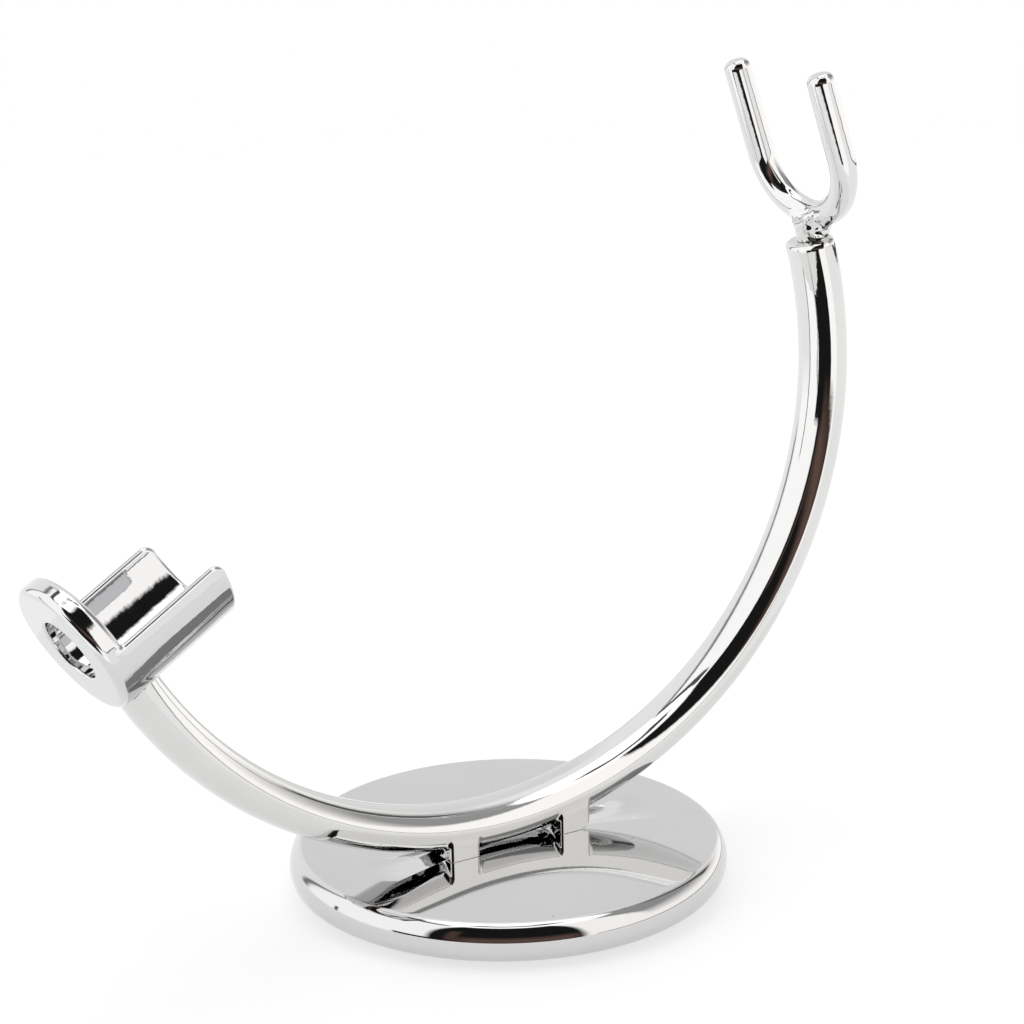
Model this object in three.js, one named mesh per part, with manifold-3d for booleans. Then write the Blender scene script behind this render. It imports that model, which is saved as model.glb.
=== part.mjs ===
// Chrome-plated counter stand for a razor or a shaving brush.
// A C-shaped oval bar stands on a round weighted base. Its low end carries a
// flanged half-pipe cradle for the end of a handle, its high end a two-prong fork.
// Millimetres, +Z up. The origin is the centre of the base on the counter top.
// The bar lies in a plane along X, with the cradle at -X and the fork at +X.
import * as THREE from 'three';
import { mergeVertices } from 'three/addons/utils/BufferGeometryUtils.js';
import Module from 'manifold-3d';

const wasm = await Module();
wasm.setup();

// ---- driving dimensions ----
const BASE_R = 32.5;            // outer radius of the base disc
const BASE_T = 5.7;             // thickness of the disc
const BASE_EDGE_R = 2.1;        // how far the rim's rounding reaches inwards
const BASE_EDGE_TOP = 3.25;     // height of the upper part of the rim's rounding
const PAD_R = 27;               // rubber pad under the disc
const PAD_T = 1.5;
const PAD_PROUD = 0.8;          // how far the pad stands below the disc
const PAD_RECESS_R = 27.4;

const BAR_R = 61.35;            // radius of the bar's centre line
const BAR_X = -3.48;            // centre of that circle
const BAR_Y = -1;               // the bar's plane, a little in front of the base's centre
const BAR_RISE = 64.83;         // the circle's height above the disc's top
const BAR_HALF_T = 3.33;        // half thickness of the oval section in its plane
const BAR_HALF_W = 4.33;        // half width of the oval section across it
const BAR_HIGH_END = 18.4;      // degrees above +X at which the bar stops
const BAR_LOW_END = -153;       // degrees, hidden in the cradle's saddle cut
const BAR_FLAT = 0.5;           // gap left between the bar's flat and the disc

const FOOT_HALF_D = 4.4;        // feet that join the bar to the base, half depth
const FEET = [
  { side: 'left', x: -10.2, width: 4.9 },
  { side: 'right', x: 8.7, width: 5.2 },
];

const SCREW_R = 1.5;            // M3 pan-head screws, from below into the feet
const SCREW_LENGTH = 8;
const SCREW_HEAD_R = 2.8;
const SCREW_HEAD_H = 2.0;
const WASHER_R = 3.4;
const WASHER_T = 0.5;
const COUNTERBORE_R = 3.7;
const COUNTERBORE_TOP = 4.25;   // height of the counterbore's seat
const SCREW_EDGE = 0.6;         // rounding of the pan head
const SCREW_SLOT_HALF = 0.35;   // crossed recess, half width, reach and depth
const SCREW_SLOT_REACH = 1.5;
const SCREW_SLOT_DEPTH = 1;
const SHANK_CLEARANCE = 0.2;    // around the screw in the disc
const WASHER_CLEARANCE = 0.15;
const SEAT_GAP = 0.01;          // between stacked faces
const THREAD_GAP = 0.1;

const CRADLE_R = 10;            // flange and half-pipe share one outer radius
const CRADLE_BORE_R = 8.8;
const CRADLE_HOLE_R = 4.6;      // hole through the flange
const CRADLE_L = 20.1;
const FLANGE_T = 3.3;
const FLANGE_EDGE = 0.7;
const CRADLE_CUT = 0.25;        // walls end this far above the cradle's axis
const CRADLE_LIP = 0.3;         // bevel at the half-pipe's open end
const CRADLE_X = -65.33;        // centre of the flange's outer face
const CRADLE_RISE = 40.53;      // its height above the disc's top
const CRADLE_TILT = 29.45;      // degrees, axis above the horizontal
const CRADLE_TURN = 7.7;        // degrees, turned about its fixing screw
const CRADLE_SCREW_S = 5.7;     // fixing screw's place along the axis
const CRADLE_SCREW_R = 1.25;    // M2.5 countersunk
const CRADLE_SCREW_HEAD_R = 2.2;
const CRADLE_SCREW_L = 8;
const CRADLE_SCREW_GAP = 0.25;  // around that screw in the half-pipe
const CRADLE_SLOT_HALF = 0.3;
const CRADLE_SLOT_REACH = 1.2;
const CRADLE_SLOT_DEPTH = 0.7;
const SADDLE_GAP = 0.3;

const FORK_ROD_R = 2.04;
const FORK_HALF_GAP = 9.4;      // prong centre to the fork's middle plane
const FORK_LEAN = 20;           // degrees, prongs lean back over the base
const FORK_X = 52.84;           // centre of the fork's half round
const FORK_RISE = 96.7;         // its height above the disc's top
const PRONG_FAR = 15;           // straight length of the +Y prong
const PRONG_NEAR = 13.2;        // straight length of the -Y prong
const NECK_R = 2.5;             // short neck under the fork
const NECK_TOP_R = 2.1;
const NECK_TOP = 2.6;           // its height above the bar's end face
const NECK_OFFSET = 0.9;        // neck's shift towards the outside of the bar
const SPIGOT_R = 1.9;           // pin of the neck inside the bar
const SPIGOT_DEPTH = 5;
const SPIGOT_OFFSET = 0.4;
const SOCKET_SPARE = 0.3;       // depth left below the pin
const END_GAP = 0.1;            // between the bar's end face and the neck

const DEG = Math.PI / 180;
const DISC_TOP = PAD_PROUD + BASE_T;
const ROUND = 72;               // facets around the large turned parts

// ---- materials ----
const chrome = (color) =>
  new THREE.MeshStandardMaterial({ color, roughness: 0.06, metalness: 1 });
const MATERIALS = {
  disc: chrome(0xd4d6d8),
  bar: chrome(0xdcdcda),
  fork: chrome(0xdedede),
  cradle: chrome(0xd8dadd),
  steel: () => new THREE.MeshStandardMaterial({ color: 0x9a9c9e, roughness: 0.3, metalness: 1 }),
  rubber: new THREE.MeshStandardMaterial({ color: 0x1c1c1e, roughness: 0.9, metalness: 0 }),
};

// ---- solids from three.js geometry ----
function solid(geometry, matrix) {
  const bare = geometry.index ? geometry.clone() : geometry;
  bare.deleteAttribute('normal');
  bare.deleteAttribute('uv');
  if (matrix) bare.applyMatrix4(matrix);
  const merged = mergeVertices(bare, 1e-4);
  return new wasm.Manifold(new wasm.Mesh({
    numProp: 3,
    vertProperties: new Float32Array(merged.attributes.position.array),
    triVerts: new Uint32Array(merged.index.array),
  }));
}

function meshOf(manifold, name, material) {
  const data = manifold.getMesh();
  const geometry = new THREE.BufferGeometry();
  geometry.setAttribute('position', new THREE.BufferAttribute(data.vertProperties, 3));
  geometry.setIndex(new THREE.BufferAttribute(data.triVerts, 1));
  geometry.computeVertexNormals();
  const mesh = new THREE.Mesh(geometry, material);
  mesh.name = name;
  return mesh;
}

// A cylinder or cone along +Z from z0 to z1.
function rod(r0, r1, z0, z1, x = 0, y = 0, facets = 28) {
  const shape = new THREE.CylinderGeometry(r1, r0, z1 - z0, facets);
  shape.rotateX(Math.PI / 2);
  shape.translate(x, y, (z0 + z1) / 2);
  return solid(shape);
}

function block(x0, x1, y0, y1, z0, z1) {
  const shape = new THREE.BoxGeometry(x1 - x0, y1 - y0, z1 - z0);
  shape.translate((x0 + x1) / 2, (y0 + y1) / 2, (z0 + z1) / 2);
  return solid(shape);
}

// Points of a quarter ellipse about (cx, cy), from angle a0 to a1 in degrees.
function arcPoints(cx, cy, rx, ry, a0, a1, steps) {
  const points = [];
  for (let i = 0; i <= steps; i += 1) {
    const a = (a0 + ((a1 - a0) * i) / steps) * DEG;
    points.push(new THREE.Vector2(cx + rx * Math.cos(a), cy + ry * Math.sin(a)));
  }
  return points;
}

// A profile of (radius, height) points turned about +Z.
function turned(points, facets) {
  const shape = new THREE.LatheGeometry(points, facets);
  shape.rotateX(Math.PI / 2);
  return solid(shape);
}

// ---- base ----
function baseDisc() {
  const flatR = BASE_R - BASE_EDGE_R;
  const widest = DISC_TOP - BASE_EDGE_TOP;
  const profile = [
    new THREE.Vector2(0, PAD_T),
    new THREE.Vector2(PAD_RECESS_R, PAD_T),
    new THREE.Vector2(PAD_RECESS_R, PAD_PROUD),
    ...arcPoints(flatR, widest, BASE_EDGE_R, widest - PAD_PROUD, -90, 0, 6),
    ...arcPoints(flatR, widest, BASE_EDGE_R, BASE_EDGE_TOP, 0, 90, 8).slice(1),
    new THREE.Vector2(0, DISC_TOP),
  ];
  let disc = turned(profile, ROUND);
  for (const foot of FEET) {
    const shankR = SCREW_R + SHANK_CLEARANCE;
    disc = disc.subtract(rod(COUNTERBORE_R, COUNTERBORE_R, 0, COUNTERBORE_TOP, foot.x, BAR_Y));
    disc = disc.subtract(rod(shankR, shankR, 0, DISC_TOP + 1, foot.x, BAR_Y));
  }
  return disc;
}

function basePad() {
  const edge = 0.3;
  return turned([
    new THREE.Vector2(0, 0),
    new THREE.Vector2(PAD_R - edge, 0),
    new THREE.Vector2(PAD_R, edge),
    new THREE.Vector2(PAD_R, PAD_T),
    new THREE.Vector2(0, PAD_T),
  ], ROUND);
}

// Pan-head screw with a crossed recess, head down, thread up.
function baseScrew(foot) {
  const seat = COUNTERBORE_TOP - WASHER_T - 2 * SEAT_GAP;
  const bottom = seat - SCREW_HEAD_H;
  const flatR = SCREW_HEAD_R * 0.6;
  const edgeTop = seat - SCREW_EDGE;
  const head = turned([
    new THREE.Vector2(0, bottom),
    new THREE.Vector2(flatR, bottom),
    ...arcPoints(flatR, edgeTop, SCREW_HEAD_R - flatR, edgeTop - bottom, -90, 0, 4).slice(1),
    new THREE.Vector2(SCREW_HEAD_R, seat),
    new THREE.Vector2(0, seat),
  ], 28);
  const shank = rod(SCREW_R, SCREW_R, seat - SCREW_EDGE, seat + SCREW_LENGTH);
  const half = SCREW_SLOT_HALF;
  const reach = SCREW_SLOT_REACH;
  const slotTop = bottom + SCREW_SLOT_DEPTH;
  const slotX = block(-reach, reach, -half, half, 0, slotTop);
  const slotY = block(-half, half, -reach, reach, 0, slotTop);
  return head.add(shank).subtract(slotX).subtract(slotY).translate([foot.x, BAR_Y, 0]);
}

function washer(foot) {
  const top = COUNTERBORE_TOP - SEAT_GAP;
  const holeR = SCREW_R + WASHER_CLEARANCE;
  const ring = rod(WASHER_R, WASHER_R, top - WASHER_T, top, foot.x, BAR_Y);
  return ring.subtract(rod(holeR, holeR, 0, DISC_TOP, foot.x, BAR_Y));
}

// ---- frames shared by the bar, cradle and fork ----
// Cradle frame: +X along the half-pipe from the flange, +Z out of its open side.
const cradleFrame = new THREE.Group();
cradleFrame.position.set(CRADLE_X, BAR_Y, DISC_TOP + CRADLE_RISE);
cradleFrame.rotation.set(0, -CRADLE_TILT * DEG, CRADLE_TURN * DEG, 'YZX');
cradleFrame.updateMatrixWorld(true);

// Bar end frame: +Z along the bar's end, +X towards the outside of the curve.
function barFrame(angle) {
  const a = angle * DEG;
  const out = new THREE.Vector3(Math.cos(a), 0, Math.sin(a));
  const along = new THREE.Vector3(-Math.sin(a), 0, Math.cos(a));
  const across = new THREE.Vector3().crossVectors(along, out);
  const frame = new THREE.Matrix4().makeBasis(out, across, along);
  frame.setPosition(BAR_X + BAR_R * out.x, BAR_Y, DISC_TOP + BAR_RISE + BAR_R * out.z);
  return frame;
}

// ---- bar ----
class BarLine extends THREE.Curve {
  getPoint(t, target = new THREE.Vector3()) {
    const a = (BAR_LOW_END + (BAR_HIGH_END - BAR_LOW_END) * t) * DEG;
    return target.set(
      BAR_X + BAR_R * Math.cos(a),
      BAR_Y,
      DISC_TOP + BAR_RISE + BAR_R * Math.sin(a),
    );
  }
}

function ovalSection(halfAcross, halfInPlane, count) {
  const points = [];
  for (let i = 0; i < count; i += 1) {
    const a = (2 * Math.PI * i) / count;
    points.push(new THREE.Vector2(halfAcross * Math.cos(a), halfInPlane * Math.sin(a)));
  }
  return new THREE.Shape(points);
}

function foot({ x, width }) {
  const top = DISC_TOP + BAR_RISE - Math.sqrt(BAR_R ** 2 - (x - BAR_X) ** 2);
  const front = BAR_Y - FOOT_HALF_D;
  return block(x - width / 2, x + width / 2, front, front + 2 * FOOT_HALF_D, DISC_TOP, top);
}

function bar() {
  const section = ovalSection(BAR_HALF_W, BAR_HALF_T, 32);
  const path = new BarLine();
  let body = solid(new THREE.ExtrudeGeometry(section, { steps: 72, extrudePath: path, bevelEnabled: false }));
  const reach = BASE_R;
  body = body.subtract(block(-reach, reach, -reach, reach, 0, DISC_TOP + BAR_FLAT));
  for (const place of FEET) {
    body = body.add(foot(place));
    const holeTop = COUNTERBORE_TOP + SCREW_LENGTH;
    const holeR = SCREW_R + THREAD_GAP;
    body = body.subtract(rod(holeR, holeR, 0, holeTop, place.x, BAR_Y, 20));
  }
  const saddle = rod(CRADLE_R + SADDLE_GAP, CRADLE_R + SADDLE_GAP, -CRADLE_R, 2 * CRADLE_R, 0, 0, ROUND)
    .transform(new THREE.Matrix4().makeRotationY(Math.PI / 2).elements)
    .transform(cradleFrame.matrixWorld.elements);
  const screwR = CRADLE_SCREW_R + THREAD_GAP;
  const screwHole = rod(screwR, screwR, -CRADLE_R - CRADLE_SCREW_L, 0, CRADLE_SCREW_S, 0, 20)
    .transform(cradleFrame.matrixWorld.elements);
  const socketR = SPIGOT_R + THREAD_GAP;
  const socketEnd = -SPIGOT_DEPTH - SOCKET_SPARE;
  const socket = rod(socketR, socketR, socketEnd, 1, SPIGOT_OFFSET, 0, 24)
    .transform(barFrame(BAR_HIGH_END).elements);
  return body.subtract(saddle).subtract(screwHole).subtract(socket);
}

// ---- cradle ----
function cradle() {
  const profile = [
    new THREE.Vector2(CRADLE_HOLE_R, 0),
    ...arcPoints(CRADLE_R - FLANGE_EDGE, FLANGE_EDGE, FLANGE_EDGE, FLANGE_EDGE, -90, 0, 3),
    new THREE.Vector2(CRADLE_R, CRADLE_L - CRADLE_LIP),
    new THREE.Vector2(CRADLE_R - CRADLE_LIP, CRADLE_L),
    new THREE.Vector2(CRADLE_BORE_R, CRADLE_L),
    new THREE.Vector2(CRADLE_BORE_R, FLANGE_T),
    new THREE.Vector2(CRADLE_HOLE_R, FLANGE_T),
    new THREE.Vector2(CRADLE_HOLE_R, 0),
  ];
  const toAxis = new THREE.Matrix4().makeRotationY(Math.PI / 2);
  const pipe = turned(profile, ROUND).transform(toAxis.elements);
  const openSide = block(FLANGE_T, 2 * CRADLE_L, -2 * CRADLE_R, 2 * CRADLE_R, CRADLE_CUT, 2 * CRADLE_R);
  const seatTop = -CRADLE_BORE_R + 0.5;
  const gap = CRADLE_SCREW_GAP;
  const countersink = rod(
    CRADLE_SCREW_R + gap, CRADLE_SCREW_HEAD_R + gap, -CRADLE_R + 0.1, seatTop, CRADLE_SCREW_S,
  );
  const through = rod(
    CRADLE_SCREW_R + gap, CRADLE_SCREW_R + gap, -2 * CRADLE_R, seatTop, CRADLE_SCREW_S,
  );
  return pipe.subtract(openSide).subtract(countersink).subtract(through);
}

// Countersunk screw through the half-pipe's floor into the bar's low end.
function cradleScrew() {
  const top = -CRADLE_BORE_R + 0.1;
  const neck = -CRADLE_R + 0.15;
  const head = rod(CRADLE_SCREW_R, CRADLE_SCREW_HEAD_R, neck, top, CRADLE_SCREW_S);
  const shankEnd = top - CRADLE_SCREW_L;
  const shank = rod(CRADLE_SCREW_R, CRADLE_SCREW_R, shankEnd, neck + 0.2, CRADLE_SCREW_S);
  const half = CRADLE_SLOT_HALF;
  const reach = CRADLE_SLOT_REACH;
  const slotFloor = top - CRADLE_SLOT_DEPTH;
  const s = CRADLE_SCREW_S;
  const slotX = block(s - reach, s + reach, -half, half, slotFloor, 0);
  const slotY = block(s - half, s + half, -reach, reach, slotFloor, 0);
  return head.add(shank).subtract(slotX).subtract(slotY);
}

// ---- fork ----
class ForkLine extends THREE.Curve {
  constructor() {
    super();
    const halfRound = Math.PI * FORK_HALF_GAP;
    this.total = PRONG_FAR + halfRound + PRONG_NEAR;
    this.bendStart = PRONG_FAR;
    this.bendEnd = PRONG_FAR + halfRound;
  }

  getPoint(t, target = new THREE.Vector3()) {
    const s = t * this.total;
    if (s < this.bendStart) return target.set(0, FORK_HALF_GAP, PRONG_FAR - s);
    if (s > this.bendEnd) return target.set(0, -FORK_HALF_GAP, s - this.bendEnd);
    const a = (s - this.bendStart) / FORK_HALF_GAP;
    return target.set(0, FORK_HALF_GAP * Math.cos(a), -FORK_HALF_GAP * Math.sin(a));
  }
}

function fork() {
  const section = ovalSection(FORK_ROD_R, FORK_ROD_R, 20);
  const path = new ForkLine();
  const forkFrame = new THREE.Matrix4().makeRotationY(-FORK_LEAN * DEG);
  forkFrame.setPosition(FORK_X, BAR_Y, DISC_TOP + FORK_RISE);
  const rods = solid(
    new THREE.ExtrudeGeometry(section, { steps: 60, extrudePath: path, bevelEnabled: false }),
    forkFrame,
  );
  const endFrame = barFrame(BAR_HIGH_END).elements;
  const neck = rod(NECK_R, NECK_TOP_R, END_GAP, NECK_TOP, NECK_OFFSET).transform(endFrame);
  const spigot = rod(SPIGOT_R, SPIGOT_R, -SPIGOT_DEPTH, END_GAP + 0.3, SPIGOT_OFFSET, 0, 24)
    .transform(endFrame);
  return rods.add(neck).add(spigot);
}

// ---- assembly ----
const stand = new THREE.Group();
stand.add(meshOf(basePad(), 'base_pad', MATERIALS.rubber));
stand.add(meshOf(baseDisc(), 'base_disc', MATERIALS.disc));
for (const place of FEET) {
  stand.add(meshOf(baseScrew(place), `base_screw_${place.side}`, MATERIALS.steel()));
  stand.add(meshOf(washer(place), `base_washer_${place.side}`, MATERIALS.steel()));
}
stand.add(meshOf(bar(), 'curved_bar', MATERIALS.bar));
stand.add(meshOf(fork(), 'fork', MATERIALS.fork));
cradleFrame.add(meshOf(cradle(), 'cradle', MATERIALS.cradle));
cradleFrame.add(meshOf(cradleScrew(), 'cradle_screw', MATERIALS.steel()));
stand.add(cradleFrame);

export default stand;
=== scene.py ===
"""Chrome counter stand for a razor or a shaving brush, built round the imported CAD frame.

Metres, +Z up. The shapes below are worked out in millimetres from the CAD's own driving
dimensions and written to the meshes in metres. Blended castings are closed surfaces of a
distance field, so that fillets and their normals are exact.
"""
import math

import bpy
import numpy as np
from mathutils import Matrix, Vector


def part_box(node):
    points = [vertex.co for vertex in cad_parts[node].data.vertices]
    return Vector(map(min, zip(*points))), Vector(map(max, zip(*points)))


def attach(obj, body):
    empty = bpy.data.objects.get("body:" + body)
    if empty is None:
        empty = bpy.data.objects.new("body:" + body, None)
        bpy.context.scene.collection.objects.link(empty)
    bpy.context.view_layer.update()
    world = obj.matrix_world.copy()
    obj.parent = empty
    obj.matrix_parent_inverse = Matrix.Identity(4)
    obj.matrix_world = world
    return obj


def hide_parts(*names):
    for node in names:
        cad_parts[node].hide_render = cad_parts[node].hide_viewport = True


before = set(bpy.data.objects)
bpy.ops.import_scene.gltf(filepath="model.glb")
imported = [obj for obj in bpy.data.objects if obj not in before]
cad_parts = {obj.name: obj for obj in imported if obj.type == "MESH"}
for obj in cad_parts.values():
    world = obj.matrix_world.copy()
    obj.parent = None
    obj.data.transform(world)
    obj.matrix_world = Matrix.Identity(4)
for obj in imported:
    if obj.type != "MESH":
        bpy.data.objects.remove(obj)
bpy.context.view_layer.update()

MM = 0.001
BODY = "root"

# ---- dimensions shared with the CAD, in millimetres ----
BASE_EDGE_R = 2.1           # how far the rim's rounding reaches inwards
BASE_EDGE_TOP = 3.25        # height of the upper part of the rim's rounding
PAD_PROUD = 0.8
PAD_RECESS_R = 27.4
BAR_R = 61.35               # radius of the bar's centre line
BAR_X = -3.48
BAR_Y = -1.0                # the bar's plane
BAR_RISE = 64.83            # height of that circle's centre above the disc's top
BAR_HALF_W = 4.33           # half width of the bar's oval, across that plane
BAR_HIGH_END = 18.4         # degrees above +X
BAR_FLAT = 0.5
FEET = {"left": (-10.2, 4.9), "right": (8.7, 5.2)}   # place and width along X
SCREW_HOLE_R = 1.6
SCREW_HOLE_TOP = 12.25
COUNTERBORE_R = 3.7
COUNTERBORE_TOP = 4.25
SHANK_HOLE_R = 1.7
CRADLE_R = 10.0
CRADLE_WALL = 1.2
CRADLE_HOLE_R = 4.6
CRADLE_L = 20.1
FLANGE_T = 3.3
CRADLE_CUT = 0.25
CRADLE_X = -65.33
CRADLE_RISE = 40.53
CRADLE_TILT = 29.45
CRADLE_TURN = 7.7
CRADLE_SCREW_S = 5.7
CRADLE_SCREW_R = 1.35
CRADLE_SCREW_END = 18.0     # how deep its hole goes into the bar, from the cradle's axis
CRADLE_SINK_R = 1.5         # its hole in the cradle, and the countersink
CRADLE_SINK_SLOPE = 0.8
CRADLE_SINK_START = 0.1
FORK_ROD_R = 2.04
FORK_HALF_GAP = 9.4
FORK_LEAN = 20.0
FORK_X = 52.84
FORK_RISE = 96.7
PRONG_FAR = 15.0
PRONG_NEAR = 13.2
NECK_R = 2.5
NECK_OFFSET = 0.9
SPIGOT_R = 1.9
SPIGOT_DEPTH = 5.0
SPIGOT_OFFSET = 0.4
SPIGOT_GAP = 0.1
SPIGOT_SPARE = 0.3          # the hole is this much deeper than the spigot

DISC_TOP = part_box("base_disc")[1].z / MM
DISC_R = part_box("base_disc")[1].x / MM
PAD_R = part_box("base_pad")[1].x / MM
PAD_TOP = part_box("base_pad")[1].z / MM

# ---- finer shape, seen only in the visual model ----
OVAL_POWER = 2.15           # 2 is an ellipse
OVAL_HALF_T = 3.26          # half thickness in the bar's plane
OVAL_HALF_W = 4.25
END_ROUND = 0.9             # rounded edge of the bar's end face
FLAT_BLEND = 0.3            # edge of the flat under the bar
PRONG_ROUND = 1.3
FOOT_ROUND = 0.5
FOOT_CREASE = 0.25          # blend of foot and bar on the front and back faces
FOOT_FILLET = 0.9           # extra blend between those faces
FOOT_CORNER = 1.9           # the right foot's lower right corner
FOOT_SHY = 0.04             # the foot's faces stay this far inside the bar's widest line
FOOT_LEAN = 0.45            # how far they lean in, and over what height under the bar
FOOT_LEAN_H = 1.6
FOOT_SINK = 0.05            # the feet run this far into the disc
FEET_WITHIN = 40            # no foot reaches this far along X
NECK_FILLET = 1.9
NECK_L = 3.0
NECK_SEAM = 0.02            # gap between the neck and the bar's end
NECK_SKIN = 0.16            # height of the unpolished neck's lumps
NECK_SKIN_UP = 0.8          # middle and reach of the lumpy place
NECK_SKIN_REACH = 4.2
FLANGE_ROUND = 1.0
HOLE_ROUND = 0.35           # edge of the flange's hole
WALL_CORNER = 1.1           # the half-pipe's two far corners
WALL_FILLET = 0.5           # blend of the half-pipe and the flange, inside and at the lips
WALL_LIP_REACH = 2.0
WALL_SKIN = 0.3             # the outside, where the two are flush, keeps no fillet
WALL_SKIN_FADE = 0.6
UNBLENDED = 1e-4
SADDLE_SINK = 0.1           # the bar's end runs this far into the cradle's wall
DISC_ROLL_W = 6             # over this width at its edge, the disc's top falls by DISC_ROLL
DISC_ROLL = 0.035
PAD_EDGE = 0.35


# ---- distance fields ----
TINY = 1e-9                 # keeps divisions away from zero
NEAR_ZERO = 1e-6


def smooth_min(a, b, k):
    """The smaller of two distances, blended over k."""
    h = np.clip(0.5 + 0.5 * (b - a) / k, 0.0, 1.0)
    return b + (a - b) * h - k * h * (1.0 - h)


def smooth_max(a, b, k):
    """The larger of two distances, blended over k."""
    return -smooth_min(-a, -b, k)


def round_max(a, b, r):
    """The larger of two distances, with the outer corner rounded to radius r."""
    corner = np.hypot(np.maximum(a + r, 0.0), np.maximum(b + r, 0.0)) - r
    return np.minimum(np.maximum(a, b), -r) + np.maximum(corner + r, 0.0)


def section(u, v):
    """About the distance from the bar's oval, which is a little fuller than an ellipse."""
    p = OVAL_POWER
    pu = (np.abs(u) / OVAL_HALF_T) ** p
    pv = (np.abs(v) / OVAL_HALF_W) ** p
    total = pu + pv + TINY
    reach = total ** (1.0 / p)
    ru = pu / np.maximum(np.abs(u), NEAR_ZERO)
    rv = pv / np.maximum(np.abs(v), NEAR_ZERO)
    steepness = reach ** (1.0 - p) * np.hypot(ru, rv) + TINY
    return (reach - 1.0) / steepness


def cylinder(u, v, w, r, w0, w1):
    """A plain cylinder of radius r along w, from w0 to w1."""
    return np.maximum(np.hypot(u, v) - r, np.maximum(w0 - w, w - w1))


def turned_frame(origin, axes):
    """A function from world millimetres to the coordinates of a local frame."""
    def local(x, y, z):
        p = (x - origin[0], y - origin[1], z - origin[2])
        return [axis[0] * p[0] + axis[1] * p[1] + axis[2] * p[2] for axis in axes]

    return local


def sin_cos(degrees):
    angle = math.radians(degrees)
    return math.sin(angle), math.cos(angle)


def cradle_axes():
    """The cradle's own directions: along it, across it and up."""
    st, ct = sin_cos(CRADLE_TILT)
    sp, cp = sin_cos(CRADLE_TURN)
    along = np.array([ct * cp, sp, st * cp])
    side = np.array([-ct * sp, cp, -st * sp])
    up = np.array([-st, 0.0, ct])
    return along, side, up


cradle_local = turned_frame((CRADLE_X, BAR_Y, DISC_TOP + CRADLE_RISE), cradle_axes())
END_SIN, END_COS = sin_cos(BAR_HIGH_END)
end_local = turned_frame(
    (BAR_X + BAR_R * END_COS, BAR_Y, DISC_TOP + BAR_RISE + BAR_R * END_SIN),
    [(END_COS, 0, END_SIN), (0, 1, 0), (-END_SIN, 0, END_COS)],
)
LEAN_SIN, LEAN_COS = sin_cos(FORK_LEAN)
fork_local = turned_frame(
    (FORK_X, BAR_Y, DISC_TOP + FORK_RISE),
    [(LEAN_COS, 0, LEAN_SIN), (0, 1, 0), (-LEAN_SIN, 0, LEAN_COS)],
)


def foot_field(x, side, z, place, width):
    """A foot, whose front and back lean in near the bar's widest line so that they run into it."""
    top = DISC_TOP + BAR_RISE - np.sqrt(BAR_R ** 2 - (x - BAR_X) ** 2)
    lean = FOOT_LEAN * np.clip(1.0 - (top - z) / FOOT_LEAN_H, 0.0, 1.0) ** 2
    depth = BAR_HALF_W - FOOT_SHY - lean
    across = round_max(np.abs(x - place) - width / 2, side - depth, FOOT_ROUND)
    under = DISC_TOP - FOOT_SINK - z
    if place > 0:
        under = np.where(x > place, round_max(x - place - width / 2, under, FOOT_CORNER), under)
    return np.maximum(across, np.maximum(under, z - top))


def bar_holes(x, y, z):
    """The holes for the fork's spigot, the base screws and the cradle's screw."""
    eu, ev, ew = end_local(x, y, z)
    bottom = -SPIGOT_DEPTH - SPIGOT_SPARE
    holes = cylinder(eu - SPIGOT_OFFSET, ev, ew, SPIGOT_R + SPIGOT_GAP, bottom, 1.0)
    for place, _ in FEET.values():
        screw = cylinder(x - place, y - BAR_Y, z, SCREW_HOLE_R, 0.0, SCREW_HOLE_TOP)
        holes = np.minimum(holes, screw)
    cu, cv, cw = cradle_local(x, y, z)
    screw = cylinder(cu - CRADLE_SCREW_S, cv, cw, CRADLE_SCREW_R, -CRADLE_SCREW_END, 0.0)
    return np.minimum(holes, screw)


def bar_field(x, y, z):
    """The bar and its feet, cut off at the fork's end and round the cradle's wall."""
    px = x - BAR_X
    pz = z - DISC_TOP - BAR_RISE
    side = np.abs(y - BAR_Y)
    tube = section(np.hypot(px, pz) - BAR_R, side)
    tube = smooth_max(tube, DISC_TOP + BAR_FLAT - z, FLAT_BLEND)
    blend = FOOT_CREASE + FOOT_FILLET * np.clip(1.0 - (side / BAR_HALF_W) ** 6, 0.0, 1.0)
    near = np.clip(x, -FEET_WITHIN, FEET_WITHIN)
    for place, width in FEET.values():
        foot = foot_field(near, side, z, place, width)
        foot = np.maximum(foot, np.abs(x) - FEET_WITHIN)
        tube = smooth_min(tube, foot, blend)
    _, _, ew = end_local(x, y, z)
    upper = np.where((px > 0) & (pz > -BAR_R / 2), ew, -np.hypot(px, pz))
    body = round_max(tube, upper, END_ROUND)
    _, cv, cw = cradle_local(x, y, z)
    body = np.maximum(body, CRADLE_R - SADDLE_SINK - np.hypot(cv, cw))
    behind = np.where(px < 0, z - DISC_TOP - CRADLE_RISE, -np.hypot(px, pz))
    body = np.maximum(body, behind)
    return np.maximum(body, -bar_holes(x, y, z))


def lumps(u, v, w):
    """Uneven lumps, about 2 mm apart, between -1 and 1."""
    across = np.sin(2.3 * u + 0.9 * np.sin(2.1 * v + 1))
    along = np.sin(2.7 * v + 0.8 * np.sin(2.4 * w))
    return across * along * np.sin(3.1 * w + u)


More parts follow.
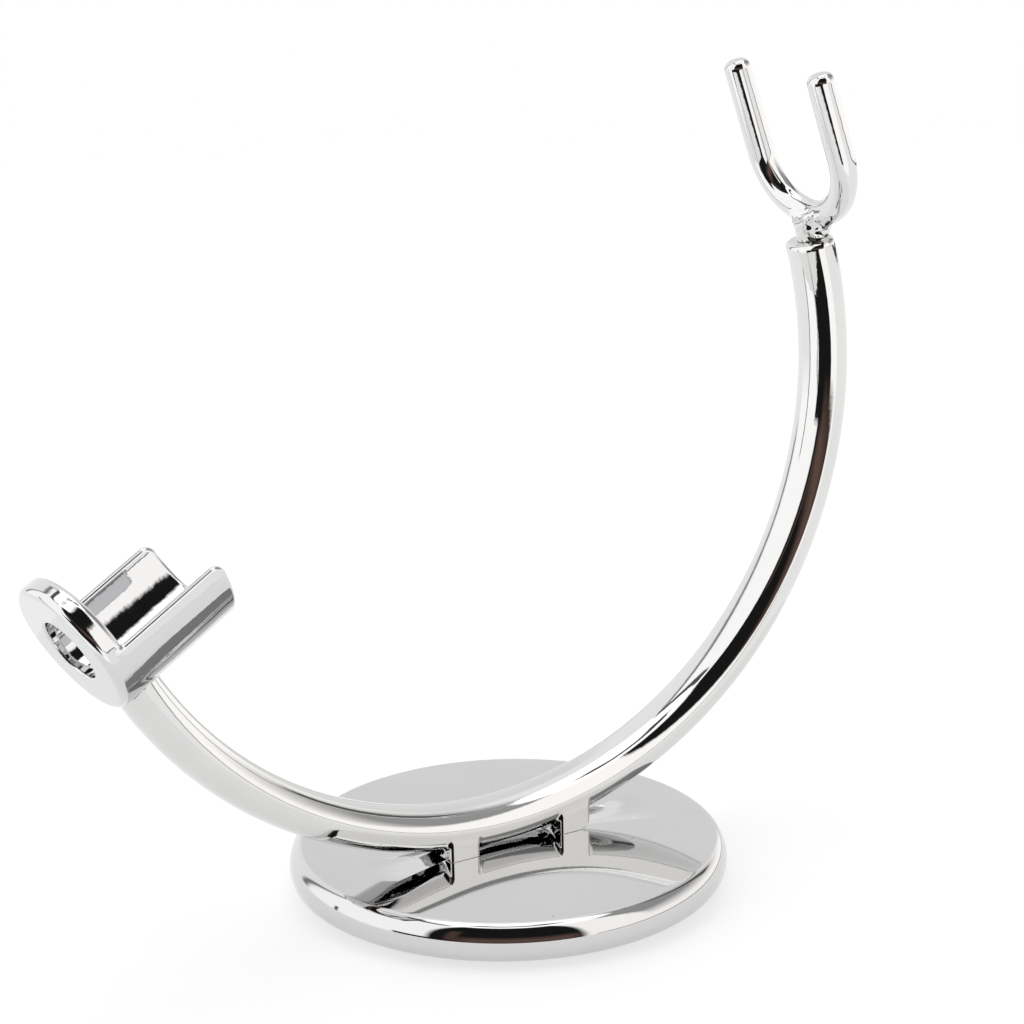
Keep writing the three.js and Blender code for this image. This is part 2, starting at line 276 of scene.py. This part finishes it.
def fork_field(x, y, z):
    """The bent rod on its rough neck, with the spigot that goes into the bar."""
    u, v, w = fork_local(x, y, z)
    flat = np.where(w > 0, np.abs(v) - FORK_HALF_GAP, np.hypot(v, w) - FORK_HALF_GAP)
    rod = np.hypot(flat, u) - FORK_ROD_R
    rod = round_max(rod, w - np.where(v > 0, PRONG_FAR, PRONG_NEAR), PRONG_ROUND)
    eu, ev, ew = end_local(x, y, z)
    neck = cylinder(eu - NECK_OFFSET, ev, ew, NECK_R, NECK_SEAM, NECK_L)
    joined = smooth_min(rod, neck, NECK_FILLET)
    away = np.hypot(np.hypot(eu - NECK_OFFSET, ev), ew - NECK_SKIN_UP)
    near_neck = np.clip(1.0 - away / NECK_SKIN_REACH, 0.0, 1.0)
    joined = joined + NECK_SKIN * lumps(u, v, w) * np.minimum(2.0 * near_neck, 1.0)
    joined = np.maximum(joined, NECK_SEAM - ew)
    spigot = cylinder(eu - SPIGOT_OFFSET, ev, ew, SPIGOT_R, -SPIGOT_DEPTH, 1.0)
    return np.minimum(joined, spigot)


def cradle_wall(s, rho, turn):
    """The half-pipe, and how far each point lies past its lip."""
    half_wall = CRADLE_WALL / 2
    middle = CRADLE_R - half_wall
    lip = math.acos((half_wall - CRADLE_CUT) / middle)
    past_lip = middle * (turn - lip)
    past_end = s - (CRADLE_L - half_wall)
    corner = WALL_CORNER
    beyond = np.hypot(np.maximum(past_lip + corner, 0), np.maximum(past_end + corner, 0)) - corner
    beyond = np.maximum(beyond, 0.0)
    wall = np.hypot(rho - middle, beyond) - half_wall
    start = FLANGE_T - FLANGE_ROUND - s
    return np.maximum(wall, start), past_lip


def cradle_hole(s, side, up):
    """The countersunk hole through the half-pipe's floor."""
    along = s - CRADLE_SCREW_S
    hole = cylinder(side, along, up, CRADLE_SINK_R, -CRADLE_R - 1, 0.0)
    spread = CRADLE_SINK_SLOPE * (up + CRADLE_R - CRADLE_SINK_START)
    sink = np.maximum(np.hypot(side, along) - CRADLE_SINK_R - spread, up + CRADLE_R / 2)
    return np.minimum(hole, sink)


def cradle_field(x, y, z):
    """The flange and the half-pipe, blended inside and at the lips, and flush outside."""
    s, side, up = cradle_local(x, y, z)
    rho = np.hypot(side, up)
    outer = round_max(rho - CRADLE_R, np.abs(s - FLANGE_T / 2) - FLANGE_T / 2, FLANGE_ROUND)
    flange = round_max(outer, CRADLE_HOLE_R - rho, HOLE_ROUND)
    wall, past_lip = cradle_wall(s, rho, np.abs(np.arctan2(side, -up)))
    at_lip = np.clip(1.0 + past_lip / WALL_LIP_REACH, 0.0, 1.0) ** 2
    inside = np.clip((CRADLE_R - WALL_SKIN - rho) / WALL_SKIN_FADE, 0.0, 1.0)
    blend = UNBLENDED + WALL_FILLET * np.maximum(at_lip, inside)
    joined = smooth_min(flange, wall, blend)
    return np.maximum(joined, -cradle_hole(s, side, up))


# ---- from a field to a mesh ----
LEAST_SLOPE = 0.2           # keeps a point from a long jump where a field is nearly flat
LONGEST_MOVE = 0.3          # of a grid step, in one round
GRID_MARGIN = 2.1           # grid steps round a node's box


def net(field, low, high, step):
    """A closed quad mesh of the field's zero surface on a grid, as vertices and faces."""
    axes = [np.arange(low[k], high[k] + step, step) for k in range(3)]
    grid = np.meshgrid(*axes, indexing="ij")
    value = field(*grid)
    inside = value < 0
    shape = tuple(n - 1 for n in value.shape)
    total = np.zeros(shape + (3,), np.float32)
    count = np.zeros(shape, np.int16)
    crossings = []
    for k in range(3):
        first = tuple(slice(None, -1) if j == k else slice(None) for j in range(3))
        second = tuple(slice(1, None) if j == k else slice(None) for j in range(3))
        crossed = inside[first] != inside[second]
        where = np.nonzero(crossed)
        a = value[first][where]
        b = value[second][where]
        point = np.stack([axes[j][where[j]] for j in range(3)], -1)
        point[:, k] += step * a / (a - b)
        others = [j for j in range(3) if j != k]
        near = []
        for da, db in ((0, 0), (1, 0), (1, 1), (0, 1)):
            cell = list(where)
            cell[others[0]] = where[others[0]] - da
            cell[others[1]] = where[others[1]] - db
            np.add.at(total, tuple(cell), point)
            np.add.at(count, tuple(cell), 1)
            near.append(cell)
        flip = inside[first][where] ^ (k == 1)
        crossings.append((near, flip))
    used = np.nonzero(count)
    index = np.full(shape, -1, np.int64)
    index[used] = np.arange(len(used[0]))
    vertices = total[used].astype(float) / count[used][:, None]
    faces = []
    for near, flip in crossings:
        quad = np.stack([index[tuple(cell)] for cell in near], -1)
        quad[~flip] = quad[~flip][:, ::-1]
        faces.append(quad)
    return vertices, np.concatenate(faces)


def slope(field, points, reach=1e-3):
    """The field's gradient at each point."""
    columns = []
    for k in range(3):
        ahead = points.copy()
        behind = points.copy()
        ahead[:, k] += reach
        behind[:, k] -= reach
        columns.append((field(*ahead.T) - field(*behind.T)) / (2 * reach))
    return np.stack(columns, -1)


def settle(field, points, step, rounds=6):
    """Moves each point along the gradient onto the zero surface."""
    points = points.copy()
    for _ in range(rounds):
        g = slope(field, points)
        size = np.maximum((g ** 2).sum(-1), LEAST_SLOPE)
        move = -(field(*points.T) / size)[:, None] * g
        length = np.maximum(np.linalg.norm(move, axis=-1, keepdims=True), TINY)
        points += move * np.minimum(1.0, LONGEST_MOVE * step / length)
    return points


def add_mesh(name, vertices, faces, normals=None):
    """A smooth-shaded object from vertices in millimetres."""
    mesh = bpy.data.meshes.new(name)
    mesh.from_pydata((np.asarray(vertices) * MM).tolist(), [], [list(map(int, f)) for f in faces])
    mesh.validate()
    mesh.polygons.foreach_set("use_smooth", [True] * len(mesh.polygons))
    if normals is not None:
        mesh.normals_split_custom_set_from_vertices(normals)
    piece = bpy.data.objects.new(name, mesh)
    bpy.context.scene.collection.objects.link(piece)
    return piece


def cast(name, field, low, high, step):
    """A casting: the field's surface with exact normals."""
    vertices, faces = net(field, low, high, step)
    vertices = settle(field, vertices, step)
    normals = slope(field, vertices)
    normals /= np.maximum(np.linalg.norm(normals, axis=-1, keepdims=True), TINY)
    return add_mesh(name, vertices, faces, normals)


def around(node, margin):
    """A node's box in millimetres, grown by a margin on all sides."""
    low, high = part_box(node)
    return [c / MM - margin for c in low], [c / MM + margin for c in high]


# ---- lathe ----
LATHE_CREASE = 35           # edges sharper than this many degrees stay sharp


def lathe(name, profile, segments):
    """Turns a profile of (radius, height) about Z; its ends lie on the axis."""
    vertices = []
    rings = []
    for radius, height in profile:
        if radius == 0:
            rings.append([len(vertices)])
            vertices.append((0.0, 0.0, height))
            continue
        rings.append(list(range(len(vertices), len(vertices) + segments)))
        for i in range(segments):
            a = 2 * math.pi * i / segments
            vertices.append((radius * math.cos(a), radius * math.sin(a), height))
    faces = []
    for upper, lower in zip(rings, rings[1:]):
        for i in range(segments):
            j = (i + 1) % segments
            if len(upper) == 1:
                faces.append((upper[0], lower[i], lower[j]))
            elif len(lower) == 1:
                faces.append((upper[i], lower[0], upper[j]))
            else:
                faces.append((upper[i], lower[i], lower[j], upper[j]))
    piece = add_mesh(name, vertices, faces)
    piece.data.set_sharp_from_angle(angle=math.radians(LATHE_CREASE))
    return piece


def arc(cx, cz, rx, rz, start, end, steps):
    """Points of an elliptical arc, angles in degrees."""
    points = []
    for i in range(steps + 1):
        s, c = sin_cos(start + (end - start) * i / steps)
        points.append((cx + rx * c, cz + rz * s))
    return points


# ---- materials ----
MIX_FACTOR, MIX_A, MIX_B = 0, 6, 7    # a Mix node's colour sockets
MIX_RESULT = 2
CLOUD_SCALE = 90.0          # noise and cell scales, per metre
HAZE_SCALE = 700.0
RIPPLE_SCALE = 600.0
PIT_SCALE = 420.0
STEEL_GRAIN = 1500.0
STEEL_PATCHES = 400.0
RUBBER_GRAIN = 1800.0
RUBBER_PATCHES = 160.0
FLOOR_MOTTLE = 30.0
CLOUD_DULL = 0.965          # tone of the duller clouds, against the brighter ones
PIT_CORE = 0.03             # a pit's radius, and that of its soft edge, against a cell
PIT_EDGE = 0.09
PIT_COLOUR = (0.12, 0.12, 0.12, 1.0)
PIT_COVER = 0.7
PIT_DEPTH = 1.2             # against the ripple's height
PIT_ROUGHNESS = 0.3
CHROME_RELIEF = 0.00004     # metres
STEEL_RELIEF = 0.00003
RUBBER_RELIEF = 0.00015


def new_material(name):
    """A material with one Principled shader, and that shader."""
    material = bpy.data.materials.new(name)
    material.use_nodes = True
    nodes = material.node_tree.nodes
    nodes.clear()
    out = nodes.new("ShaderNodeOutputMaterial")
    shader = nodes.new("ShaderNodeBsdfPrincipled")
    material.node_tree.links.new(shader.outputs["BSDF"], out.inputs["Surface"])
    return material, shader


def add(tree, kind, **values):
    """A node with its input sockets set, or linked where the value is a socket."""
    node = tree.nodes.new(kind)
    for key, value in values.items():
        if isinstance(value, bpy.types.NodeSocket):
            tree.links.new(value, node.inputs[key])
        else:
            node.inputs[key].default_value = value
    return node


def object_point(tree):
    return tree.nodes.new("ShaderNodeTexCoord").outputs["Object"]


def noise(tree, point, scale, detail, rough=0.5):
    sockets = {"Vector": point, "Scale": scale, "Detail": detail, "Roughness": rough}
    return add(tree, "ShaderNodeTexNoise", **sockets).outputs["Fac"]


def remap(tree, value, low, high, to_low, to_high):
    """Maps low..high to to_low..to_high, and holds the end values beyond."""
    node = tree.nodes.new("ShaderNodeMapRange")
    tree.links.new(value, node.inputs["Value"])
    node.inputs["From Min"].default_value = low
    node.inputs["From Max"].default_value = high
    node.inputs["To Min"].default_value = to_low
    node.inputs["To Max"].default_value = to_high
    return node.outputs["Result"]


def maths(tree, operation, a, b=0.0):
    """The result of a Math node on numbers or sockets."""
    node = tree.nodes.new("ShaderNodeMath")
    node.operation = operation
    for i, value in enumerate((a, b)):
        if isinstance(value, bpy.types.NodeSocket):
            tree.links.new(value, node.inputs[i])
        else:
            node.inputs[i].default_value = value
    return node.outputs[0]


def mixed(tree, factor, a, b):
    """The colour between a and b."""
    node = tree.nodes.new("ShaderNodeMix")
    node.data_type = "RGBA"
    for key, value in ((MIX_FACTOR, factor), (MIX_A, a), (MIX_B, b)):
        if isinstance(value, bpy.types.NodeSocket):
            tree.links.new(value, node.inputs[key])
        else:
            node.inputs[key].default_value = value
    return node.outputs[MIX_RESULT]


def set_bump(tree, shader, height, strength, relief):
    """Makes the shader follow a height, which is `relief` metres from 0 to 1."""
    bump = add(tree, "ShaderNodeBump", Height=height, Strength=strength, Distance=relief)
    tree.links.new(bump.outputs["Normal"], shader.inputs["Normal"])


def scattered_pits(tree, point, share):
    """Small round spots, 1 inside and 0 outside, in this share of the cells."""
    cells = add(tree, "ShaderNodeTexVoronoi", Vector=point, Scale=PIT_SCALE)
    split = tree.nodes.new("ShaderNodeSeparateColor")
    tree.links.new(cells.outputs["Color"], split.inputs[0])
    rare = maths(tree, "GREATER_THAN", split.outputs[0], 1.0 - share)
    spot = remap(tree, cells.outputs["Distance"], PIT_CORE, PIT_EDGE, 1.0, 0.0)
    return maths(tree, "MULTIPLY", rare, spot)


def chrome(name, tone, polish, wave, pits):
    """Polished chrome plate: clouds, fine haze, a polishing ripple and small pits."""
    material, shader = new_material(name)
    tree = material.node_tree
    point = object_point(tree)
    clouds = remap(tree, noise(tree, point, CLOUD_SCALE, 4.0), 0.35, 0.7, 0.0, 1.0)
    dull = (*(c * CLOUD_DULL for c in tone), 1.0)
    colour = mixed(tree, clouds, (*tone, 1.0), dull)
    pit = scattered_pits(tree, point, pits)
    colour = mixed(tree, maths(tree, "MULTIPLY", pit, PIT_COVER), colour, PIT_COLOUR)
    tree.links.new(colour, shader.inputs["Base Color"])
    haze = noise(tree, point, HAZE_SCALE, 5.0, 0.6)
    rough = remap(tree, haze, 0.3, 0.75, polish * 0.6, polish * 1.8)
    rough = maths(tree, "ADD", rough, maths(tree, "MULTIPLY", pit, PIT_ROUGHNESS))
    tree.links.new(rough, shader.inputs["Roughness"])
    shader.inputs["Metallic"].default_value = 1.0
    ripple = noise(tree, point, RIPPLE_SCALE, 2.0)
    height = maths(tree, "SUBTRACT", ripple, maths(tree, "MULTIPLY", pit, PIT_DEPTH))
    set_bump(tree, shader, height, wave, CHROME_RELIEF)
    return material


def steel():
    """Zinc-plated screw steel with fine turning marks."""
    material, shader = new_material("screw_steel")
    tree = material.node_tree
    point = object_point(tree)
    grain = noise(tree, point, STEEL_GRAIN, 6.0, 0.65)
    patch = noise(tree, point, STEEL_PATCHES, 3.0)
    colour = mixed(tree, patch, (0.48, 0.49, 0.5, 1.0), (0.62, 0.62, 0.6, 1.0))
    tree.links.new(colour, shader.inputs["Base Color"])
    tree.links.new(remap(tree, grain, 0.3, 0.7, 0.2, 0.42), shader.inputs["Roughness"])
    shader.inputs["Metallic"].default_value = 1.0
    set_bump(tree, shader, grain, 0.25, STEEL_RELIEF)
    return material


def rubber():
    """Dense foam rubber with a fine open grain."""
    material, shader = new_material("pad_rubber")
    tree = material.node_tree
    point = object_point(tree)
    grain = noise(tree, point, RUBBER_GRAIN, 6.0, 0.7)
    patch = noise(tree, point, RUBBER_PATCHES, 3.0)
    colour = mixed(tree, patch, (0.018, 0.018, 0.02, 1.0), (0.032, 0.032, 0.034, 1.0))
    tree.links.new(colour, shader.inputs["Base Color"])
    tree.links.new(remap(tree, grain, 0.3, 0.7, 0.75, 0.95), shader.inputs["Roughness"])
    set_bump(tree, shader, grain, 0.5, RUBBER_RELIEF)
    return material


# ---- pieces ----
DISC_SEGMENTS = 288
PAD_SEGMENTS = 192
BORE_SEGMENTS = 48
ROLL_STEPS = 12
RIM_TOP_STEPS = 20
RIM_LOW_STEPS = 16
PAD_EDGE_STEPS = 6
PAD_RING = 3                # a ring of vertices on the pad's underside, this far in
CUT_PAST = 0.5              # a cutter starts this far outside what it cuts
RECESS_EDGE_W = 0.3         # the small slope at the mouth of the pad's recess
RECESS_EDGE_H = 0.2
BAR_STEP = 0.3              # the castings' grid steps, millimetres
FORK_STEP = 0.16
CRADLE_STEP = 0.19


def finish_piece(piece, material, slot, *nodes):
    """Gives a piece its one material, hangs it on the body's empty and hides the CAD parts that it
    takes the place of.
    """
    piece.data.materials.clear()
    piece.data.materials.append(material)
    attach(piece, BODY)
    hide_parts(*nodes)
    return piece


def carve(piece, cutter):
    """Cuts one closed mesh out of another, and throws the cutter away."""
    cut = piece.modifiers.new("cut", "BOOLEAN")
    cut.operation = "DIFFERENCE"
    cut.solver = "EXACT"
    cut.object = cutter
    depsgraph = bpy.context.evaluated_depsgraph_get()
    mesh = bpy.data.meshes.new_from_object(piece.evaluated_get(depsgraph))
    piece.modifiers.clear()
    old = piece.data
    piece.data = mesh
    bpy.data.meshes.remove(old)
    bpy.data.objects.remove(cutter)


def disc_profile():
    """From the middle of the top, round the rim, to the middle of the pad's recess."""
    flat_r = DISC_R - BASE_EDGE_R
    widest = DISC_TOP - BASE_EDGE_TOP
    low = PAD_PROUD
    top = DISC_TOP - DISC_ROLL
    profile = [(0, DISC_TOP), (flat_r - DISC_ROLL_W, DISC_TOP)]
    for i in range(1, ROLL_STEPS + 1):
        t = i / ROLL_STEPS
        profile.append((flat_r - DISC_ROLL_W + DISC_ROLL_W * t, DISC_TOP - DISC_ROLL * t ** 3))
    profile += arc(flat_r, widest, BASE_EDGE_R, top - widest, 90, 0, RIM_TOP_STEPS)[1:]
    profile += arc(flat_r, widest, BASE_EDGE_R, widest - low, 0, -90, RIM_LOW_STEPS)[1:]
    profile += [(PAD_RECESS_R + RECESS_EDGE_W, low), (PAD_RECESS_R, low + RECESS_EDGE_H)]
    profile += [(PAD_RECESS_R, PAD_TOP), (0, PAD_TOP)]
    return profile


def pin_profile(radius, top, bottom):
    """The outline of a plain pin, for the lathe."""
    return [(0, top), (radius, top), (radius, bottom), (0, bottom)]


def make_disc():
    """The disc, with a counterbore and a shank hole under each foot."""
    disc = lathe("base_disc_polished", disc_profile(), DISC_SEGMENTS)
    step = pin_profile(COUNTERBORE_R, COUNTERBORE_TOP, CUT_PAST)
    bore = pin_profile(SHANK_HOLE_R, DISC_TOP + 1, COUNTERBORE_TOP - CUT_PAST)
    for place, _ in FEET.values():
        for outline in (step, bore):
            cutter = lathe("cutter", outline, BORE_SEGMENTS)
            cutter.location = (place * MM, BAR_Y * MM, 0)
            bpy.context.view_layer.update()
            carve(disc, cutter)
    return disc


def make_pad():
    """The foam pad, with a softly rounded lower edge."""
    profile = [(0, PAD_TOP), (PAD_R, PAD_TOP)]
    profile += arc(PAD_R - PAD_EDGE, PAD_EDGE, PAD_EDGE, PAD_EDGE, 0, -90, PAD_EDGE_STEPS)
    profile += [(PAD_R - PAD_RING, 0.0), (0, 0)]
    return lathe("base_pad_foam", profile, PAD_SEGMENTS)


def make_object():
    """All pieces: turned ones, castings, and the CAD's own screws and washers."""
    # tone, roughness, ripple and share of pitted cells
    disc_chrome = chrome("disc_chrome", (0.64, 0.64, 0.64), 0.03, 0.03, 0.10)
    bar_chrome = chrome("bar_chrome", (0.69, 0.69, 0.685), 0.03, 0.22, 0.01)
    fork_chrome = chrome("fork_chrome", (0.69, 0.69, 0.69), 0.03, 0.3, 0.01)
    cradle_chrome = chrome("cradle_chrome", (0.67, 0.673, 0.68), 0.035, 0.4, 0.03)
    finish_piece(make_disc(), disc_chrome, "disc_chrome", "base_disc")
    pad = finish_piece(make_pad(), rubber(), "pad_rubber", "base_pad")
    for node, field, step, material, slot in (
        ("curved_bar", bar_field, BAR_STEP, bar_chrome, "bar_chrome"),
        ("fork", fork_field, FORK_STEP, fork_chrome, "fork_chrome"),
        ("cradle", cradle_field, CRADLE_STEP, cradle_chrome, "cradle_chrome"),
    ):
        low, high = around(node, GRID_MARGIN * step)
        piece = cast(node + "_polished", field, low, high, step)
        finish_piece(piece, material, slot, node)
    screw_steel = steel()
    for node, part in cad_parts.items():
        if "screw" in node or "washer" in node:
            part.data.materials.clear()
            part.data.materials.append(screw_steel)


# ---- camera ----
CAMERA_PLACE = (-0.14660, -0.24597, 0.12723)    # metres
CAMERA_TURN = -31.103       # degrees about Z, from looking along +Y
CAMERA_DOWN = 14.035
CAMERA_ROLL = -1.093
CAMERA_LENS = 72.52         # millimetres, on a sensor this wide
CAMERA_SENSOR = 36.0
CAMERA_NEAR = 0.01          # metres
CAMERA_FAR = 20.0


def make_camera():
    """The view from the stand's front left, slightly above it."""
    sa, ca = sin_cos(CAMERA_TURN)
    se, ce = sin_cos(CAMERA_DOWN)
    sr, cr = sin_cos(CAMERA_ROLL)
    right = Vector((ca, sa, 0))
    back = Vector((sa * ce, -ca * ce, se))
    up = back.cross(right)
    columns = (cr * right + sr * up, -sr * right + cr * up, back)
    turn = Matrix(columns).transposed().to_4x4()
    data = bpy.data.cameras.new("camera")
    data.lens = CAMERA_LENS
    data.sensor_width = CAMERA_SENSOR
    data.clip_start = CAMERA_NEAR
    data.clip_end = CAMERA_FAR
    camera = bpy.data.objects.new("camera", data)
    camera.matrix_world = Matrix.Translation(CAMERA_PLACE) @ turn
    bpy.context.scene.collection.objects.link(camera)
    bpy.context.scene.camera = camera


# ---- studio ----
# What the chrome mirrors: patches of a panorama, each over the ones before it. A patch has an
# azimuth from +X towards +Y and its half width, an elevation and its half height, the width of
# its soft edge, all in degrees, then a brightness and a tint. The camera stands at -121 degrees.
FULL_TURN = 360.0
HALF_TURN = 180.0
WHITE = (1.0, 1.0, 1.0)
WARM = (1.0, 0.975, 0.955)
BROWN = (1.0, 0.62, 0.5)
STUDIO = (
    (0, 66, 20, 21, 3, 1.38, WARM),           # warm wall on the right, shaded higher up
    (-15, 42, 52, 30, 26, 0.40, WHITE),
    (60, 26, 20, 24, 8, 0.93, WHITE),         # back wall of the tent
    (160, 42, 28, 36, 8, 1.36, WHITE),        # left wall, and its foot beyond the table
    (168, 24, -20, 32, 2, 1.36, WHITE),
    (97, 22, 30, 34, 10, 1.10, WHITE),
    (-80, 34, 41, 42, 6, 1.38, WARM),         # soft box on the right of the camera
    (-94, 20, -16, 20, 4, 1.38, WARM),
    (0, 181, 90, 26, 2, 1.75, WHITE),         # overhead soft box
    (12, 6, 38, 16, 4, 0.12, WHITE),          # gaps between the walls, and their lower edges
    (0, 78, -1.0, 0.7, 0.8, 0.06, WHITE),
    (144, 1.3, -22, 30, 1.5, 0.10, WHITE),
    (114, 3.5, 32, 33, 4, 0.28, WHITE),
    (149, 36, 65.5, 2.6, 1.5, 0.10, WHITE),
    (-105, 78, 79, 3.4, 2, 0.08, WHITE),
    (-146, 34, -14, 16, 2, 0.012, WHITE),     # dark opening round the camera
    (-123, 39, 30, 37, 4, 0.012, WHITE),
    (-116, 30, 5, 8, 12, 0.14, BROWN),        # brown things in it
    (-150, 3.0, 20, 18, 3, 0.09, BROWN),
)
SKY = 1.12                  # brightness where no patch lies
TABLE_R = 0.115             # the part of the floor that the chrome mirrors, metres
FLOOR_REACH = 1.5
FLOOR_DROP = 0.0002         # the wide floor lies this far under the table
FLOOR_GREY = 0.44           # reflectance, mottled up to the second value
FLOOR_GREY_TOP = 0.46
FLOOR_GLOW = 0.60
SHEET_CORNERS = 96


def world_patch(tree, azimuth, elevation, patch):
    """How much of a patch lies in a direction, from 0 to 1."""
    at, half, height, half_height, soft = patch[:5]
    turned = maths(tree, "ADD", azimuth, FULL_TURN + HALF_TURN - at)
    turned = maths(tree, "MODULO", turned, FULL_TURN)
    offset = maths(tree, "SUBTRACT", turned, HALF_TURN)
    masks = []
    for value, limit in ((offset, half), (maths(tree, "SUBTRACT", elevation, height), half_height)):
        distance = maths(tree, "ABSOLUTE", value)
        masks.append(remap(tree, distance, limit - soft / 2, limit + soft / 2, 1.0, 0.0))
    return maths(tree, "MULTIPLY", *masks)


def make_world():
    """The panorama, which the camera itself sees as plain white."""
    world = bpy.data.worlds.new("studio")
    bpy.context.scene.world = world
    world.use_nodes = True
    tree = world.node_tree
    tree.nodes.clear()
    direction = tree.nodes.new("ShaderNodeTexCoord").outputs["Generated"]
    split = tree.nodes.new("ShaderNodeSeparateXYZ")
    tree.links.new(direction, split.inputs[0])
    degrees = HALF_TURN / math.pi
    azimuth = maths(tree, "ARCTAN2", split.outputs[1], split.outputs[0])
    azimuth = maths(tree, "MULTIPLY", azimuth, degrees)
    elevation = maths(tree, "MULTIPLY", maths(tree, "ARCSINE", split.outputs[2]), degrees)
    colour = (SKY, SKY, SKY, 1.0)
    for patch in STUDIO:
        tint = (*(patch[5] * c for c in patch[6]), 1.0)
        colour = mixed(tree, world_patch(tree, azimuth, elevation, patch), colour, tint)
    seen = tree.nodes.new("ShaderNodeLightPath").outputs["Is Camera Ray"]
    colour = mixed(tree, seen, colour, (1.0, 1.0, 1.0, 1.0))
    background = add(tree, "ShaderNodeBackground", Color=colour)
    out = tree.nodes.new("ShaderNodeOutputWorld")
    tree.links.new(background.outputs[0], out.inputs["Surface"])


def make_sheet(name, radius, height, material):
    """A flat round sheet, part of the stage."""
    ring = []
    for i in range(SHEET_CORNERS):
        s, c = sin_cos(FULL_TURN * i / SHEET_CORNERS)
        ring.append((radius * c, radius * s, height))
    mesh = bpy.data.meshes.new(name)
    mesh.from_pydata(ring, [], [tuple(range(SHEET_CORNERS))])
    mesh.materials.append(material)
    sheet = bpy.data.objects.new(name, mesh)
    bpy.context.scene.collection.objects.link(sheet)
    return sheet


def make_floor():
    """A small table under the stand, and a wide floor that the chrome doesn't mirror."""
    material, shader = new_material("floor")
    tree = material.node_tree
    mottle = noise(tree, object_point(tree), FLOOR_MOTTLE, 2.0)
    grey = (FLOOR_GREY, FLOOR_GREY, FLOOR_GREY, 1.0)
    light_grey = (FLOOR_GREY_TOP, FLOOR_GREY_TOP, FLOOR_GREY_TOP, 1.0)
    colour = mixed(tree, mottle, grey, light_grey)
    tree.links.new(colour, shader.inputs["Base Color"])
    shader.inputs["Roughness"].default_value = 0.9
    shader.inputs["Emission Color"].default_value = (1.0, 1.0, 1.0, 1.0)
    shader.inputs["Emission Strength"].default_value = FLOOR_GLOW
    make_sheet("table", TABLE_R, 0.0, material)
    floor = make_sheet("floor", FLOOR_REACH, -FLOOR_DROP, material)
    floor.visible_glossy = False


def make_studio():
    """The world and floor, shown without a tone curve."""
    make_world()
    make_floor()
    view = bpy.context.scene.view_settings
    view.view_transform = "Standard"
    view.look = "None"


make_camera()
make_object()
make_studio()
